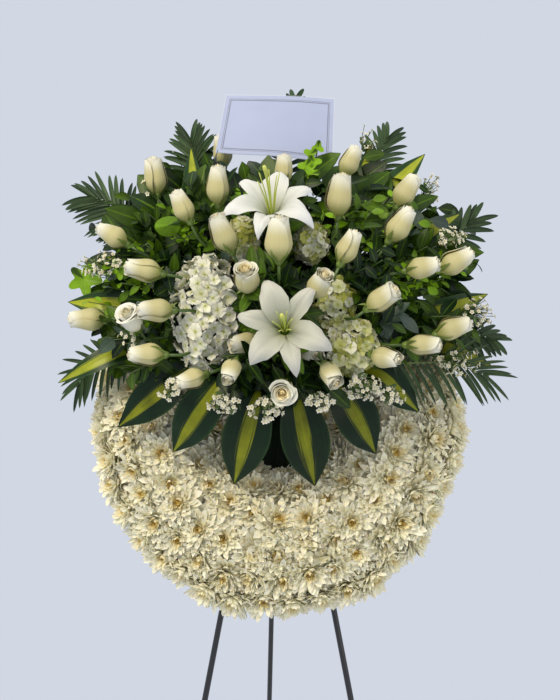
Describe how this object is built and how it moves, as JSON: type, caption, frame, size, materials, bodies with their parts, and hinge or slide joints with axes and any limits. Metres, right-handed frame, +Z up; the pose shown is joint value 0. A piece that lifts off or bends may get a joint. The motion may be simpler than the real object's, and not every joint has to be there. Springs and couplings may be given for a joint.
{
  "type": "funeral_wreath_on_stand",
  "caption": "Standing funeral wreath: a ring of cream chrysanthemums with a spray of white roses, lilies, hydrangeas and palm fronds on a black three-legged stand",
  "frame": {"origin": "on the floor, under the middle of the whole", "axes": "+Z up, -Y the front that faces the viewer, +X to the viewer's right"},
  "size_m": [0.8348, 0.7164, 1.6999],
  "materials": {
    "rod": "satin",
    "rubber": "matte",
    "wire": "satin",
    "straw": "matte",
    "chrysanthemum": "matte",
    "foam": "matte",
    "rose": "satin",
    "lily": "satin",
    "hydrangea": "matte",
    "leaf": "satin",
    "frond": "satin",
    "green": "satin",
    "filler": "matte",
    "card": "gloss",
    "wood": "matte"
  },
  "bodies": {
    "root": {"chrysanthemum_bed_1": "chrysanthemum", "chrysanthemum_bed_2": "chrysanthemum", "chrysanthemum_bed_3": "chrysanthemum", "chrysanthemum_bed_4": "chrysanthemum", "chrysanthemum_bed_5": "chrysanthemum", "chrysanthemum_bed_6": "chrysanthemum", "ring_base": "straw", "hanging_loop": "wire", "stand_peg": "rod", "stand_head": "rod", "leg_front_left": "rod", "foot_front_left": "rubber", "leg_front_right": "rod", "foot_front_right": "rubber", "leg_rear": "rod", "foot_rear": "rubber", "back_leaves": "leaf", "roses_upper_left": "rose", "roses_left": "rose", "roses_inner_left": "rose", "roses_lower_left": "rose", "roses_top": "rose", "rose_centre": "rose", "roses_upper_right": "rose", "roses_outer_right": "rose", "roses_lower_right": "rose", "roses_lower_middle": "rose", "lily_upper": "lily", "lily_lower": "lily", "hydrangea_left": "hydrangea", "hydrangea_right": "hydrangea", "hydrangea_rear": "hydrangea", "card": "card", "card_pick": "wood", "broad_leaves_lower_left": "leaf", "broad_leaf_middle_left": "leaf", "broad_leaf_middle_right": "leaf", "broad_leaves_lower_right": "leaf", "broad_leaves_left": "leaf", "broad_leaves_right": "leaf", "broad_leaves_upper_right": "leaf", "broad_leaves_top": "leaf", "palm_frond_left": "frond", "palm_frond_upper_left": "frond", "palm_frond_top": "frond", "palm_frond_upper_right": "frond", "palm_frond_right": "frond", "palm_frond_lower_right": "frond", "palm_frond_lower_left": "frond", "palm_frond_far_right": "frond", "filler_left": "filler", "filler_right": "filler", "filler_lower_left": "filler", "filler_lower_right": "filler", "greens_left": "green", "greens_top": "green", "greens_right": "green", "foam": "foam"}
  },
  "joints": []
}
